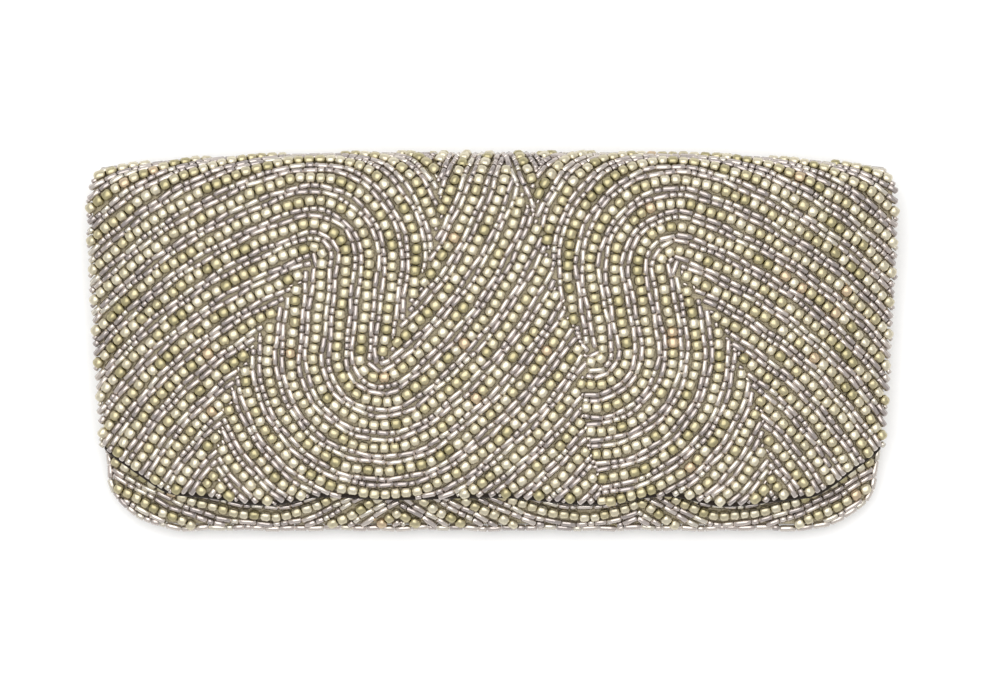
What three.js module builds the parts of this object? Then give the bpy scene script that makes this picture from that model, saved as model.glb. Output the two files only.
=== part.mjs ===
// A soft fold-over clutch lying on its back. One length of cloth makes the back, rolls over the top and
// comes down the front as a flap. A second piece, sewn to it along the sides and the rounded bottom, makes
// the pocket. Both are paved on the outside with strung glass beads.
// Millimetres. +X runs to the right as the flap is looked at, +Y to the rolled top and +Z up.

import * as THREE from "three";

// Driving dimensions
const HEIGHT = 114.3; // bottom seam to rolled top
const DEPTH = 24; // table to the flap's highest beads, at the middle of the top

const CLOTH = 0.7; // backing cloth
const BEADS = 2.6; // paving, from the cloth to the tops of the beads
const LAYER_GAP = 0.25; // between the cloth and its paving
const WALL = CLOTH + LAYER_GAP + BEADS;
const SEAM_GAP = 0.3; // between the two panels where they are sewn together
const FLAP_CLEARANCE = 0.5; // flap above the pocket

const SEAM_LIFT = 1.6; // the seam turns up off the table by this much
const SEAM_TURN = 10; // width of the border that turns up

const TOP = HEIGHT / 2;
const SEAM_Z = WALL + SEAM_LIFT; // inner face of the back at the seam
const POCKET_RISE = DEPTH - 2 * WALL - FLAP_CLEARANCE - SEAM_Z - SEAM_GAP; // inner face above the seam

const FOLD_Y = 44; // the flap's flat part ends here and the roll starts
const FOLD_DROP = 4.2; // the rolled top is this much lower at its two ends
const FOLD_NARROWING = 2.4; // each end of the roll draws in by this much
const FOLD_END_LIFT = 2.4; // the ends of the roll stand open
const FOLD_END_LIFT_FROM = 12; // the flap's sides start to rise at this height
const MOUTH_Y = 38; // upper edge of the pocket, under the flap

const BOTTOM_EDGE_REACH = 2.1; // the paving bulges past the bottom seam
const BOTTOM_CORNER = { wide: 23, high: 13.5 };
const MOST_TILT = 0.7; // steepest slope that the thickness of the pocket leans with

// Powers that shape the pillow: a round crown and a squarer one share the width, and the swell is quick
// at the seam
const CROWN = { round: 2, square: 8 };
const SWELL = { reach: 4, seam: 0.7 };
const FOLD_BOW = 3.3; // power of the bow of the rolled top
const END_LIFT_POWER = 4; // keeps that lift near the sides

// Half the width between the side seams, from the bottom to the top
const SIDE_ROWS = [
  { y: -60, half: 112.4 },
  { y: -33, half: 114.8 },
  { y: -6, half: 115.7 },
  { y: 27, half: 117.6 },
  { y: 60, half: 117.8 },
];

// Free edge of the flap: nearly straight, with a slanting end at each side that starts in a round corner
const FLAP_EDGE = { y: -46.2, slant: 0.78, slantFrom: 96.5, corner: 3 };

// Waves of that edge: how much lower it hangs at x, and how far it stands off the pocket there
const EDGE_WAVES = [
  { x: -116, drop: 0, lift: 1.3 },
  { x: -90, drop: -0.4, lift: 1.3 },
  { x: -67, drop: 1.5, lift: 1.4 },
  { x: -50, drop: -0.7, lift: 0.3 },
  { x: -30, drop: 0.1, lift: 0.1 },
  { x: 0, drop: -0.6, lift: 0.1 },
  { x: 29, drop: 1.1, lift: 1.3 },
  { x: 52, drop: -0.8, lift: 0.2 },
  { x: 70, drop: 1.9, lift: 1.4 },
  { x: 92, drop: 0.4, lift: 1.3 },
  { x: 116, drop: 0, lift: 1.3 },
];
const EDGE_LIFT_REACH = 14; // the lift dies out this far up the flap

// Mesh steps
const COLUMNS = 24;
const FLAP_ROWS = 10;
const FOLD_ROWS = 8;
const BACK_ROWS = 9;
const POCKET_ROWS = 12;
const SIDE_CROWDING = 0.55; // 0 spaces the columns evenly, 1 crowds them at the sides
const SEAM_CROWDING = 1.5; // powers above 1 crowd the rows at the seam and at the flap's edge
const EDGE_CROWDING = 1.2;
const SLOPE_STEP = 0.4;
const FLATTEST = 1e-6;

const { clamp, lerp, smoothstep } = THREE.MathUtils;

// A named column of a table at a place between its rows, straight or in smooth waves.
function column(rows, key, name, place, wavy) {
  const next = rows.findIndex((row) => row[key] >= place);
  if (next < 0) return rows[rows.length - 1][name];
  if (next === 0) return rows[0][name];
  const [before, after] = [rows[next - 1], rows[next]];
  const share = (place - before[key]) / (after[key] - before[key]);
  return lerp(before[name], after[name], wavy ? smoothstep(share, 0, 1) : share);
}

// Half the width between the side seams at height y.
function sideSeam(y) {
  return column(SIDE_ROWS, "y", "half", y, false);
}

// Height of the bottom seam below a point x, with its rounded corners.
function bottomSeam(x) {
  const level = -TOP + BOTTOM_EDGE_REACH;
  const half = sideSeam(level + BOTTOM_CORNER.high);
  const into = clamp((Math.abs(x) - half) / BOTTOM_CORNER.wide + 1, 0, 1);
  return level + BOTTOM_CORNER.high * (1 - Math.sqrt(1 - into * into));
}

// Height of the flap's free edge at x.
function flapEdge(x) {
  const into = Math.abs(x) - FLAP_EDGE.slantFrom;
  const rise = (FLAP_EDGE.slant * (into + Math.hypot(into, FLAP_EDGE.corner))) / 2;
  return FLAP_EDGE.y + rise - column(EDGE_WAVES, "x", "drop", x, true);
}

// Inner face of the pocket's front: a pillow that falls to the seam at the sides and at the bottom.
function pocketHeight(x, y) {
  const across = clamp(Math.abs(x) / sideSeam(y), 0, 1);
  const crown = 1 - (across ** CROWN.round + across ** CROWN.square) / 2;
  const bottom = bottomSeam(x);
  const up = clamp((y - bottom) / (FOLD_Y - bottom), 0, 1);
  const swell = (1 - (1 - up) ** SWELL.reach) ** SWELL.seam;
  return SEAM_Z + SEAM_GAP + POCKET_RISE * crown * swell;
}

// Inner face of the back: flat on the table, with a border that turns up to the seam.
function backHeight(x, y) {
  const fromSide = 1 - clamp((sideSeam(y) - Math.abs(x)) / SEAM_TURN, 0, 1);
  const fromBottom = 1 - clamp((y - bottomSeam(x)) / SEAM_TURN, 0, 1);
  const border = 1 - (1 - fromSide ** 2) * (1 - fromBottom ** 2);
  return WALL + SEAM_LIFT * border;
}

// Upward direction of a height field, with its lean held to a limit.
function leaning(height, x, y) {
  const [inX, inY] = [x - Math.sign(x) * SLOPE_STEP, y + SLOPE_STEP];
  const here = height(x, y);
  const slopeX = x === 0 ? 0 : (here - height(inX, y)) / (x - inX);
  const slopeY = (height(x, inY) - here) / SLOPE_STEP;
  const lean = Math.min(1, MOST_TILT / Math.max(Math.hypot(slopeX, slopeY), FLATTEST));
  return new THREE.Vector3(-slopeX * lean, -slopeY * lean, 1).normalize();
}

// Places across the panel from -1 to 1, closer together near the sides.
function places() {
  const turn = Math.PI / 2;
  return Array.from({ length: COLUMNS + 1 }, (_, i) => {
    const even = (2 * i) / COLUMNS - 1;
    return lerp(even, Math.sin(turn * even), SIDE_CROWDING);
  });
}

// Inner face of the pocket's front, from the bottom seam to the mouth: a line of points for each place.
function pocketFace() {
  return places().map((across) =>
    Array.from({ length: POCKET_ROWS + 1 }, (_, i) => {
      const rise = (i / POCKET_ROWS) ** SEAM_CROWDING;
      const y = lerp(bottomSeam(across * sideSeam(-TOP)), MOUTH_Y, rise);
      const x = across * sideSeam(y);
      return new THREE.Vector3(x, y, pocketHeight(x, y));
    }),
  );
}

// Inner face of the flap at one place: the pocket's face moved out by the pocket's wall and a clearance.
function flapPoint(across, y, edge) {
  const x = across * sideSeam(y);
  const point = new THREE.Vector3(x, y, pocketHeight(x, y));
  const lift = column(EDGE_WAVES, "x", "lift", x, true) * (1 - smoothstep(y - edge, 0, EDGE_LIFT_REACH));
  const endLift = FOLD_END_LIFT * across ** END_LIFT_POWER * smoothstep(y, FOLD_END_LIFT_FROM, FOLD_Y);
  point.addScaledVector(leaning(pocketHeight, x, y), WALL + FLAP_CLEARANCE + lift);
  point.z += endLift;
  return point;
}

// Inner face of the flap, the roll and the back, from the flap's free edge to the bottom seam.
function backFlapFace() {
  return places().map((across) => {
    const points = [];
    const edge = flapEdge(across * sideSeam(FLAP_EDGE.y));
    for (let i = 0; i <= FLAP_ROWS; i++) {
      const y = lerp(edge, FOLD_Y, (i / FLAP_ROWS) ** EDGE_CROWDING);
      points.push(flapPoint(across, y, edge));
    }
    const front = points[points.length - 1];
    const seamX = across * sideSeam(FOLD_Y);
    const back = new THREE.Vector3(seamX, FOLD_Y, backHeight(seamX, FOLD_Y));
    const reach = TOP - WALL - FOLD_DROP * Math.abs(across) ** FOLD_BOW - FOLD_Y;
    for (let i = 1; i < FOLD_ROWS; i++) {
      const turn = (Math.PI * i) / FOLD_ROWS;
      const share = (1 - Math.cos(turn)) / 2;
      const point = new THREE.Vector3().lerpVectors(front, back, share);
      point.x -= FOLD_NARROWING * across * Math.sin(turn);
      point.y = lerp(front.y, back.y, share) + reach * Math.sin(turn);
      points.push(point);
    }
    for (let i = 0; i <= BACK_ROWS; i++) {
      const rise = (1 - i / BACK_ROWS) ** SEAM_CROWDING;
      const y = lerp(bottomSeam(across * sideSeam(-TOP)), FOLD_Y, rise);
      const x = across * sideSeam(y);
      points.push(new THREE.Vector3(x, y, backHeight(x, y)));
    }
    return points;
  });
}

// Outward directions of a grid of points, from its own neighbours.
function outward(face) {
  return face.map((line, i) =>
    line.map((_, j) => {
      const [left, right] = [face[Math.max(i - 1, 0)], face[Math.min(i + 1, face.length - 1)]];
      const across = new THREE.Vector3().subVectors(right[j], left[j]);
      const [start, end] = [line[Math.max(j - 1, 0)], line[Math.min(j + 1, line.length - 1)]];
      const along = new THREE.Vector3().subVectors(end, start);
      return across.cross(along).normalize();
    }),
  );
}

// A closed wall between two distances from a face.
function wall(face, directions, near, far) {
  const [columns, rows] = [face.length, face[0].length];
  const positions = [];
  for (const distance of [near, far]) {
    face.forEach((line, i) =>
      line.forEach((point, j) => {
        const moved = point.clone().addScaledVector(directions[i][j], distance);
        positions.push(moved.x, moved.y, moved.z);
      }),
    );
  }
  const at = (i, j, layer) => layer * columns * rows + i * rows + j;
  const triangles = [];
  const quad = (a, b, c, d) => triangles.push(a, b, c, a, c, d);
  for (let i = 0; i + 1 < columns; i++) {
    for (let j = 0; j + 1 < rows; j++) {
      quad(at(i, j, 1), at(i + 1, j, 1), at(i + 1, j + 1, 1), at(i, j + 1, 1));
      quad(at(i, j, 0), at(i, j + 1, 0), at(i + 1, j + 1, 0), at(i + 1, j, 0));
    }
    quad(at(i, 0, 0), at(i + 1, 0, 0), at(i + 1, 0, 1), at(i, 0, 1));
    quad(at(i + 1, rows - 1, 0), at(i, rows - 1, 0), at(i, rows - 1, 1), at(i + 1, rows - 1, 1));
  }
  for (let j = 0; j + 1 < rows; j++) {
    const end = columns - 1;
    quad(at(0, j + 1, 0), at(0, j, 0), at(0, j, 1), at(0, j + 1, 1));
    quad(at(end, j, 0), at(end, j + 1, 0), at(end, j + 1, 1), at(end, j, 1));
  }
  const geometry = new THREE.BufferGeometry();
  geometry.setAttribute("position", new THREE.Float32BufferAttribute(positions, 3));
  geometry.setIndex(triangles);
  geometry.computeVertexNormals();
  return geometry;
}

// The cloth of a panel and the paving on its outside, as two meshes.
function panel(name, face, directions) {
  const cloth = new THREE.Mesh(
    wall(face, directions, 0, CLOTH),
    new THREE.MeshStandardMaterial({ color: "#8a8288", roughness: 0.85, metalness: 0 }),
  );
  cloth.name = `${name}_cloth`;
  const beadwork = new THREE.Mesh(
    wall(face, directions, CLOTH + LAYER_GAP, WALL),
    new THREE.MeshStandardMaterial({ color: "#c4b88f", roughness: 0.3, metalness: 0.4 }),
  );
  beadwork.name = `${name}_beadwork`;
  return [cloth, beadwork];
}

const backFlap = backFlapFace();
const pocket = pocketFace();
const pocketDirections = pocket.map((line) => line.map((p) => leaning(pocketHeight, p.x, p.y)));

const clutch = new THREE.Group();
clutch.add(...panel("back_flap", backFlap, outward(backFlap)));
clutch.add(...panel("front_pocket", pocket, pocketDirections));

export default clutch;
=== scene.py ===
"""A soft fold-over clutch paved with strung glass beads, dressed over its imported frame.

One length of cloth makes the back, the rolled top and the flap, and a second makes the pocket. Rows of
gold-lined beads with two rows of silver-lined bugles between them follow two S-shaped swirls over the
cloth. Sizes are in millimetres until a mesh is made. +X runs to the right as the flap is looked at, +Y to
the rolled top and +Z up. On a flattened panel, x runs across and t along the cloth, on over the roll.
"""

import logging
import math
from collections.abc import Callable
from dataclasses import dataclass, field
from enum import Enum
from functools import partial
from types import SimpleNamespace

import bmesh
import bpy
import numpy as np
from bpy.types import Camera, Light, Material, Mesh, Node, NodeSocket, NodeTree, Object
from mathutils.kdtree import KDTree
from numpy.linalg import norm
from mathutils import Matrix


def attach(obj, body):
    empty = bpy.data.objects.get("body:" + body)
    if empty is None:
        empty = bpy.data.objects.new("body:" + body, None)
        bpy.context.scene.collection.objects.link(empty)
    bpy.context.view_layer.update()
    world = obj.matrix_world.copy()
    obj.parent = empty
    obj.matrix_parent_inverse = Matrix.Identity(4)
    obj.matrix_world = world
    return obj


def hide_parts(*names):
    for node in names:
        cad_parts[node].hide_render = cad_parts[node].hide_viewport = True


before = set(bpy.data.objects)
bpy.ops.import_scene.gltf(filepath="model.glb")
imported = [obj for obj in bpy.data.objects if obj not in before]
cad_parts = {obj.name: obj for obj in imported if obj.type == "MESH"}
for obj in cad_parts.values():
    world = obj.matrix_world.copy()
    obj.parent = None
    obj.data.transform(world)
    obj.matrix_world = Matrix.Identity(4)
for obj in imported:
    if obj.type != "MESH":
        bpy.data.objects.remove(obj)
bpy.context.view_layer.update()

MM = 0.001
BODY = "root"
LOG = logging.getLogger("beaded_clutch")
LARGEST_STEP = 1.6  # places farther apart are not in one run
CORNER_GAP = 2.5  # runs that end closer together meet in a corner
SHARPEST_CORNER = 2.2  # in radians
Array = np.ndarray
Rows = list[np.ndarray]
Colour = tuple[float, float, float, float]


def linear(code: str) -> Colour:
    """Turns an sRGB hex colour to a linear one.

    Args:
        code: Six hex digits.

    Returns:
        Red, green, blue and an alpha of 1, linear.
    """
    shares = [int(code[i : i + 2], 16) / 255 for i in (0, 2, 4)]
    red, green, blue = (s / 12.92 if s <= 0.04045 else ((s + 0.055) / 1.055) ** 2.4 for s in shares)
    return (red, green, blue, 1.0)


def feed(tree: NodeTree, node: Node, links: dict) -> None:
    """Links what feeds a node's inputs.

    Args:
        tree: The node's tree.
        node: The node.
        links: Output sockets, or nodes for their first output, by the input's name or number.
    """
    for socket, source in links.items():
        output = source.outputs[0] if isinstance(source, Node) else source
        tree.links.new(output, node.inputs[socket])


def add_node(
    tree: NodeTree,
    kind: str,
    settings: dict | None = None,
    values: dict | None = None,
    links: dict | None = None,
) -> Node:
    """Adds a node with its settings and links.

    Args:
        tree: The tree that gets the node.
        kind: Blender's name of the node type.
        settings: Properties of the node.
        values: Values of input sockets, by name or number.
        links: What feeds input sockets, by name or number.

    Returns:
        The new node.
    """
    node = tree.nodes.new(kind)
    for name, value in (settings or {}).items():
        setattr(node, name, value)
    for socket, value in (values or {}).items():
        node.inputs[socket].default_value = value
    feed(tree, node, links or {})
    return node


def new_material(name: str, values: dict) -> tuple[Material, NodeTree, Node]:
    """Makes a material with one Principled shader.

    Args:
        name: The real material's name.
        values: Values of the shader's inputs.

    Returns:
        The material, its node tree and its shader node.
    """
    material = bpy.data.materials.new(name)
    material.use_nodes = True
    tree = material.node_tree
    tree.nodes.clear()
    shader = add_node(tree, "ShaderNodeBsdfPrincipled", values=values)
    add_node(tree, "ShaderNodeOutputMaterial", links={"Surface": shader})
    return material, tree, shader


def shade_ramp(tree: NodeTree, source: Node | NodeSocket, shades: tuple, steps: str = "CONSTANT") -> Node:
    """Adds a colour ramp.

    Args:
        tree: The material's tree.
        source: The value that picks the colour.
        shades: Pairs of a position and a hex colour.
        steps: How the ramp goes from one colour to the next.

    Returns:
        The ramp, which gives the colour first.
    """
    ramp = add_node(tree, "ShaderNodeValToRGB", links={"Fac": source})
    ramp.color_ramp.interpolation = steps
    stops = ramp.color_ramp.elements
    while len(stops) < len(shades):
        stops.new(0.5)
    for stop, (place, code) in zip(stops, shades):
        stop.position = place
        stop.color = linear(code)
    return ramp


def link(data: Mesh | Light | Camera) -> Object:
    """Puts a mesh, a light or a camera in the scene under its own name.

    Args:
        data: The mesh, the light or the camera.

    Returns:
        The object.
    """
    thing = bpy.data.objects.new(data.name, data)
    bpy.context.scene.collection.objects.link(thing)
    return thing


def corners_of(mesh: Mesh) -> Array:
    """Lists the vertex of each face corner.

    Args:
        mesh: The mesh.

    Returns:
        Numbers of vertices.
    """
    corners = np.empty(len(mesh.loops), np.int32)
    mesh.loops.foreach_get("vertex_index", corners)
    return corners


def unit(vectors: Array) -> Array:
    """Scales vectors to length one."""
    return vectors / np.maximum(norm(vectors, axis=-1, keepdims=True), 1e-9)


def smooth(share: Array) -> Array:
    """Eases a share from 0 to 1."""
    share = np.clip(share, 0, 1)
    return share * share * (3 - 2 * share)


class Kind(Enum):
    """The two kinds of beads in a row."""

    GOLD = "gold_beads"
    SILVER = "silver_bugles"


@dataclass(frozen=True)
class GoldLinedGlass:
    """Pressed glass beads with a satin gold lining: a small soft highlight over an olive metal glow."""

    name: str = "satin_gold_lined_pressed_glass"
    # tones by share of beads: the darkest, for the first 12%, is partly the beads' own olive and partly
    # painted shade for beads turned away from the light
    shades: tuple = (
        (0.0, "aca37d"), (0.12, "bdb390"), (0.3, "c8bfa2"),
        (0.5, "d0c7ad"), (0.72, "d5cdb5"), (0.97, "cbb697"),
    )
    mottle_mm: float = 0.9
    brightness: tuple[float, float] = (0.86, 1.08)  # of the mottling
    roughness: tuple[float, float] = (0.28, 0.4)
    bore_shade: float = 0.85  # painted shade of the bore: how much of the light the bore loses, on the end faces

    def material(self) -> Material:
        """Builds the material, with a shade for each bead from its own tone.

        Returns:
            The material.
        """
        shine = {"Metallic": 0.95, "Coat Weight": 0.25, "Coat Roughness": 0.15}
        material, tree, shader = new_material(self.name, shine)
        tone, bore = (
            add_node(tree, "ShaderNodeAttribute", {"attribute_name": name}).outputs["Fac"]
            for name in ("tone", "bore")
        )
        place = add_node(tree, "ShaderNodeTexCoord").outputs["Object"]
        grain = {"Scale": 1 / (self.mottle_mm * MM), "Detail": 2.0}
        mottle = add_node(tree, "ShaderNodeTexNoise", values=grain, links={"Vector": place})
        grade, gloss = (
            add_node(
                tree,
                "ShaderNodeMapRange",
                values={"From Min": 0.3, "From Max": 0.7, "To Min": low, "To Max": high},
                links={"Value": mottle},
            )
            for low, high in (self.brightness, self.roughness)
        )
        # painted shade: the end faces, which stand for the bore, are darkened
        lit = {1: -self.bore_shade, 2: 1.0}
        open_share = add_node(tree, "ShaderNodeMath", {"operation": "MULTIPLY_ADD"}, lit, {0: bore})
        dimmed = add_node(tree, "ShaderNodeMath", {"operation": "MULTIPLY"}, links={0: grade, 1: open_share})
        scaled = {0: shade_ramp(tree, tone, self.shades), "Scale": dimmed}
        tint = add_node(tree, "ShaderNodeVectorMath", {"operation": "SCALE"}, links=scaled)
        feed(tree, shader, {"Base Color": tint, "Roughness": gloss})
        return material


@dataclass(frozen=True)
class SilverLinedGlass:
    """Cut glass tubes with a mirror lining: a thin white line of light along each tube, grey beside it."""

    name: str = "silver_lined_drawn_glass"
    shades: tuple = ((0.0, "aaa19c"), (0.25, "bdb3ac"), (0.6, "c8bfb6"), (0.85, "cec7b9"))

    def material(self) -> Material:
        """Builds the material, with a shade for each tube from its own tone.

        Returns:
            The material.
        """
        shine = {"Metallic": 0.9, "Coat Weight": 0.3, "Coat Roughness": 0.08}
        material, tree, shader = new_material(self.name, shine)
        tone = add_node(tree, "ShaderNodeAttribute", {"attribute_name": "tone"}).outputs["Fac"]
        rough = {"To Min": 0.14, "To Max": 0.26}
        gloss = add_node(tree, "ShaderNodeMapRange", values=rough, links={"Value": tone})
        feed(tree, shader, {"Base Color": shade_ramp(tree, tone, self.shades), "Roughness": gloss})
        return material


@dataclass(frozen=True)
class WovenSilk:
    """Plain-woven silk backing: a dull khaki with a fine grid of threads and a faint sheen."""

    name: str = "plain_woven_silk"
    warp: str = "c4b99d"
    weft: str = "aba086"
    painted_edge_shadow: str = "231a10"  # painted shadow: near-black where the flap's free edge shades the pocket below it
    thread_mm: float = 0.8  # about three times the real spacing, which would not show

    def material(self) -> Material:
        """Builds the material on the cloth's own map, which is in metres.

        Returns:
            The material.
        """
        shine = {"Roughness": 0.8, "Specular IOR Level": 0.25, "Sheen Weight": 0.1}
        material, tree, shader = new_material(self.name, shine)
        place = add_node(tree, "ShaderNodeUVMap", {"uv_map": "Weave"})
        scale = math.pi / (10 * self.thread_mm * MM)  # the wave's own length is pi / 10
        threads = [
            add_node(
                tree,
                "ShaderNodeTexWave",
                {"wave_type": "BANDS", "bands_direction": way},
                {"Scale": scale, "Distortion": 1.5, "Detail": 1.0},
                {"Vector": place},
            ).outputs["Fac"]
            for way in ("X", "Y")
        ]
        both = dict(enumerate(threads))
        over = add_node(tree, "ShaderNodeMath", {"operation": "MAXIMUM"}, links=both)
        relief = {"Strength": 0.5, "Distance": 0.15 * MM}
        bump = add_node(tree, "ShaderNodeBump", values=relief, links={"Height": over})
        shade = shade_ramp(tree, over, ((0.2, self.weft), (1.0, self.warp)), "LINEAR")
        # painted shadow: where the hem attribute is 1, the cloth takes the near-black shadow of the flap's
        # free edge
        hem = add_node(tree, "ShaderNodeAttribute", {"attribute_name": "hem"}).outputs["Fac"]
        painted_shadow = {7: linear(self.painted_edge_shadow)}
        shadowed = add_node(tree, "ShaderNodeMix", {"data_type": "RGBA"}, painted_shadow, {0: hem, 6: shade})
        feed(tree, shader, {"Base Color": shadowed.outputs[2], "Normal": bump})
        return material


@dataclass(frozen=True)
class PaperSweep:
    """White studio paper: matt, with hardly any tooth."""

    name: str = "matt_white_paper"
    shade: str = "f6f6f5"

    def material(self) -> Material:
        """Builds the material of the floor."""
        matt = {"Base Color": linear(self.shade), "Roughness": 0.95, "Specular IOR Level": 0.1}
        return new_material(self.name, matt)[0]


@dataclass(frozen=True)
class BeadShape:
    """A bead turned about its thread, which runs along X."""

    length: float
    diameter: float
    height: float  # across the thread as well, but straight out of the cloth
    ends: tuple  # from the bore outwards: distances from the end, and diameters as shares
    section: tuple  # corners of the section as shares of the half width and the half height
    cut_ends: bool  # sharp ends, as on a cut tube
    map_low: float = 0.2  # the map's lower part, which the two ends share
    map_end: float = 0.08  # radius of an end on the map

    def build(self, name: str) -> Object:
        """Turns the bead's profile, with a map that gives every face its own place.

        Args:
            name: Name of the bead.

        Returns:
            The bead, in metres, at the origin.
        """
        half, radius, tall = self.length / 2, self.diameter / 2, self.height / self.diameter
        sides = len(self.section)
        profile = [(inset - half, radius * share) for inset, share in self.ends]
        profile += [(half - inset, radius * share) for inset, share in reversed(self.ends)]
        shape = bmesh.new()
        places = shape.loops.layers.uv.new("OFBake")
        bore = shape.faces.layers.float.new("bore")
        rings = [
            [shape.verts.new((x * MM, r * out * MM, r * up * tall * MM)) for out, up in self.section]
            for x, r in profile
        ]
        rise = (1 - self.map_low) / (len(rings) - 1)
        for row, (near, far) in enumerate(zip(rings, rings[1:])):
            bottom, top = self.map_low + row * rise, self.map_low + (row + 1) * rise
            for i in range(sides):
                j = (i + 1) % sides
                face = shape.faces.new((near[i], far[i], far[j], near[j]))
                face.smooth = not self.cut_ends or row == len(self.ends) - 1
                left, right = i / sides, (i + 1) / sides
                corners = ((left, bottom), (left, top), (right, top), (right, bottom))
                for loop, corner in zip(face.loops, corners):
                    loop[places].uv = corner
        middle = self.map_low / 2
        for number, ring in enumerate((rings[0], rings[-1][::-1])):
            face = shape.faces.new(ring)
            # marks the end face for the painted shade of the bore
            face[bore] = 1.0
            for i, loop in enumerate(face.loops):
                turn = 2 * math.pi * i / sides
                across = middle + self.map_low * number + self.map_end * math.cos(turn)
                loop[places].uv = (across, middle + self.map_end * math.sin(turn))
        bmesh.ops.recalc_face_normals(shape, faces=shape.faces)
        mesh = bpy.data.meshes.new(name)
        shape.to_mesh(mesh)
        shape.free()
        return link(mesh)


@dataclass(frozen=True)
class ClutchForm:
    """The soft form that the frame was made with, in millimetres."""

    top: float = 57.15  # half the height of the whole clutch
    depth: float = 24.0
    cloth: float = 0.7
    wall: float = 3.55  # cloth and beads
    bead_level: float = 1.2  # middle of the beads above the cloth
    seam_gap: float = 0.3  # between the two cloths at the seam
    flap_clearance: float = 0.5  # between the pocket's beads and the flap
    seam_lift: float = 1.6  # how far the back's border turns up
    seam_turn: float = 10.0  # width of that border
    crown_power: int = 8  # how square the pillow is across
    swell_powers: tuple = (4, 0.7)  # how full it is up from the seam
    fold_y: float = 44.0  # where the roll starts
    fold_drop: float = 4.2  # how much less the roll stands out at its ends
    fold_bow: float = 3.3  # power of that curve
    fold_narrowing: float = 2.4  # how much narrower the roll is at each end
    fold_end_lift: float = 2.4  # how far the roll's ends gape
    fold_end_lift_from: float = 12.0
    fold_end_power: int = 4
    mouth_y: float = 38.0
    bottom_edge_reach: float = 2.1  # from the bottom seam to the frame's bottom edge
    bottom_corner: tuple = (23.0, 13.5)  # half axes of the rounded corners
    most_tilt: float = 0.7  # steepest lean of the pocket's thickness, as a slope
    slope_step: float = 0.4
    edge_y: float = -46.2  # the flap's free edge
    edge_slant: float = 0.78  # slope of the edge near the sides
    edge_slant_from: float = 96.5
    edge_corner: float = 3.0  # rounding where that slope starts
    edge_lift_reach: float = 14.0  # how far up the flap its edge stands off the pocket
    side_rows: tuple = ((-60, 112.4), (-33, 114.8), (-6, 115.7), (27, 117.6), (60, 117.8))  # y, half width
    edge_waves: tuple = (  # x, drop, lift
        (-116, 0, 1.3), (-90, -0.4, 1.3), (-67, 1.5, 1.4), (-50, -0.7, 0.3), (-30, 0.1, 0.1), (0, -0.6, 0.1),
        (29, 1.1, 1.3), (52, -0.8, 0.2), (70, 1.9, 1.4), (92, 0.4, 1.3), (116, 0, 1.3),
    )

    @property
    def seam_z(self) -> float:
        """Height of the back's inner face at the seam."""
        return self.wall + self.seam_lift

    def side_seam(self, y: Array) -> Array:
        """Half the width between the side seams at height y."""
        heights, halves = zip(*self.side_rows)
        return np.interp(y, heights, halves)

    def edge_wave(self, x: Array, column: int) -> Array:
        """Smooth waves of the flap's edge.

        Args:
            x: Places across.
            column: 1 for the drop, 2 for the lift.

        Returns:
            Drops or lifts.
        """
        table = np.array(self.edge_waves, float)
        after = np.clip(np.searchsorted(table[:, 0], x), 1, len(table) - 1)
        start, end = table[after - 1], table[after]
        share = smooth((x - start[..., 0]) / (end[..., 0] - start[..., 0]))
        return start[..., column] + (end[..., column] - start[..., column]) * share

    def bottom_seam(self, x: Array) -> Array:
        """Height of the bottom seam, with its rounded corners.

        Args:
            x: Places across.

        Returns:
            Heights.
        """
        wide, high = self.bottom_corner
        level = self.bottom_edge_reach - self.top
        into = np.clip((np.abs(x) - self.side_seam(level + high)) / wide + 1, 0, 1)
        return level + high * (1 - np.sqrt(1 - into**2))

    def flap_edge(self, x: Array) -> Array:
        """Height of the flap's free edge.

        Args:
            x: Places across.

        Returns:
            Heights.
        """
        into = np.abs(x) - self.edge_slant_from
        rise = self.edge_slant * (into + np.hypot(into, self.edge_corner)) / 2
        return self.edge_y + rise - self.edge_wave(x, 1)

    def pocket_height(self, x: Array, y: Array) -> Array:
        """Inner face of the pocket's front, a pillow that falls to the seam.

        Args:
            x, y: Places across and up the face.

        Returns:
            Heights above the table.
        """
        across = np.clip(np.abs(x) / self.side_seam(y), 0, 1)
        crown = 1 - (across**2 + across**self.crown_power) / 2
        bottom = self.bottom_seam(x)
        up = np.clip((y - bottom) / (self.fold_y - bottom), 0, 1)
        fullness, start = self.swell_powers
        swell = (1 - (1 - up) ** fullness) ** start
        low = self.seam_z + self.seam_gap
        rise = self.depth - 2 * self.wall - self.flap_clearance - low
        return low + rise * crown * swell

    def back_height(self, x: Array, y: Array) -> Array:
        """Inner face of the back, flat on the table with a border that turns up.

        Args:
            x, y: Places across and up the face.

        Returns:
            Heights above the table.
        """
        side = 1 - np.clip((self.side_seam(y) - np.abs(x)) / self.seam_turn, 0, 1)
        bottom = 1 - np.clip((y - self.bottom_seam(x)) / self.seam_turn, 0, 1)
        return self.wall + self.seam_lift * (1 - (1 - side**2) * (1 - bottom**2))

    def leaning(self, x: Array, y: Array) -> Array:
        """Upward directions of the pocket's front, with their lean held to a limit.

        Args:
            x, y: Places across and up the face.

        Returns:
            Unit vectors.
        """
        step = self.slope_step
        here = self.pocket_height(x, y)
        inward = np.where(x < 0, step, -step)
        slope_x = np.where(x == 0, 0, (self.pocket_height(x + inward, y) - here) / inward)
        slope_y = (self.pocket_height(x, y + step) - here) / step
        lean = np.minimum(1, self.most_tilt / np.maximum(np.hypot(slope_x, slope_y), 1e-6))
        return unit(np.stack([-slope_x * lean, -slope_y * lean, np.ones_like(here)], -1))

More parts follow.
